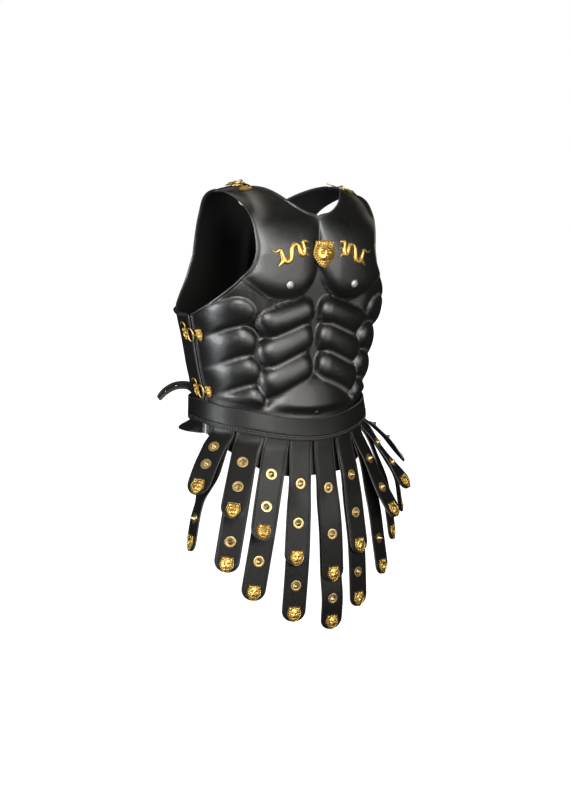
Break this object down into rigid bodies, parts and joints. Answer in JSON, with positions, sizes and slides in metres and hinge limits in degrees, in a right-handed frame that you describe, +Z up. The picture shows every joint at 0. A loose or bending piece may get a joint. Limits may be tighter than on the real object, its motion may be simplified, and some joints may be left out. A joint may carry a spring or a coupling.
{
  "type": "muscle cuirass with strap apron",
  "caption": "Moulded black leather muscle cuirass: breastplate and backplate joined by brass lion clasps, a waist belt, and an apron of studded straps.",
  "frame": {"origin": "midpoint between the two shoulder straps, level with the underside of their highest part, where the cuirass rests on the wearer's shoulders", "axes": "+Z up along the wearer's spine, -Y out of the wearer's chest, +X to the wearer's left"},
  "size_m": [0.492, 0.3366, 0.7786],
  "materials": {
    "black_leather": "black, smooth, glossy top coat over fine grain",
    "cast_brass": "cast and gilded, polished on the high places",
    "polished_steel": "polished, slightly hammered"
  },
  "bodies": {
    "root": {"breastplate": "black_leather", "backplate": "black_leather", "belt": "black_leather", "belt_tongue": "black_leather", "belt_buckle": "cast_brass", "lion_boss": "cast_brass", "serpent_right": "cast_brass", "serpent_left": "cast_brass", "clasp_upper_right_front": "cast_brass", "clasp_upper_right_back": "cast_brass", "clasp_upper_left_front": "cast_brass", "clasp_upper_left_back": "cast_brass", "clasp_lower_right_front": "cast_brass", "clasp_lower_right_back": "cast_brass", "clasp_lower_left_front": "cast_brass", "clasp_lower_left_back": "cast_brass", "clasp_shoulder_right_front": "cast_brass", "clasp_shoulder_right_back": "cast_brass", "clasp_shoulder_left_front": "cast_brass", "clasp_shoulder_left_back": "cast_brass", "nipple_stud_right": "polished_steel", "nipple_stud_left": "polished_steel", "outer_strap_1": "black_leather", "inner_strap_1": "black_leather", "outer_strap_2": "black_leather", "inner_strap_2": "black_leather", "outer_strap_3": "black_leather", "inner_strap_3": "black_leather", "outer_strap_4": "black_leather", "inner_strap_4": "black_leather", "outer_strap_5": "black_leather", "inner_strap_5": "black_leather", "outer_strap_6": "black_leather", "inner_strap_6": "black_leather", "outer_strap_7": "black_leather", "inner_strap_7": "black_leather", "outer_strap_8": "black_leather", "inner_strap_8": "black_leather", "outer_strap_9": "black_leather", "inner_strap_9": "black_leather", "outer_plaque_1": "cast_brass", "inner_plaque_1": "cast_brass", "outer_plaque_2": "cast_brass", "inner_plaque_2": "cast_brass", "outer_plaque_3": "cast_brass", "inner_plaque_3": "cast_brass", "outer_plaque_4": "cast_brass", "inner_plaque_4": "cast_brass", "outer_plaque_5": "cast_brass", "inner_plaque_5": "cast_brass", "outer_plaque_6": "cast_brass", "inner_plaque_6": "cast_brass", "outer_plaque_7": "cast_brass", "inner_plaque_7": "cast_brass", "outer_plaque_8": "cast_brass", "inner_plaque_8": "cast_brass", "outer_plaque_9": "cast_brass", "inner_plaque_9": "cast_brass"}
  },
  "joints": []
}
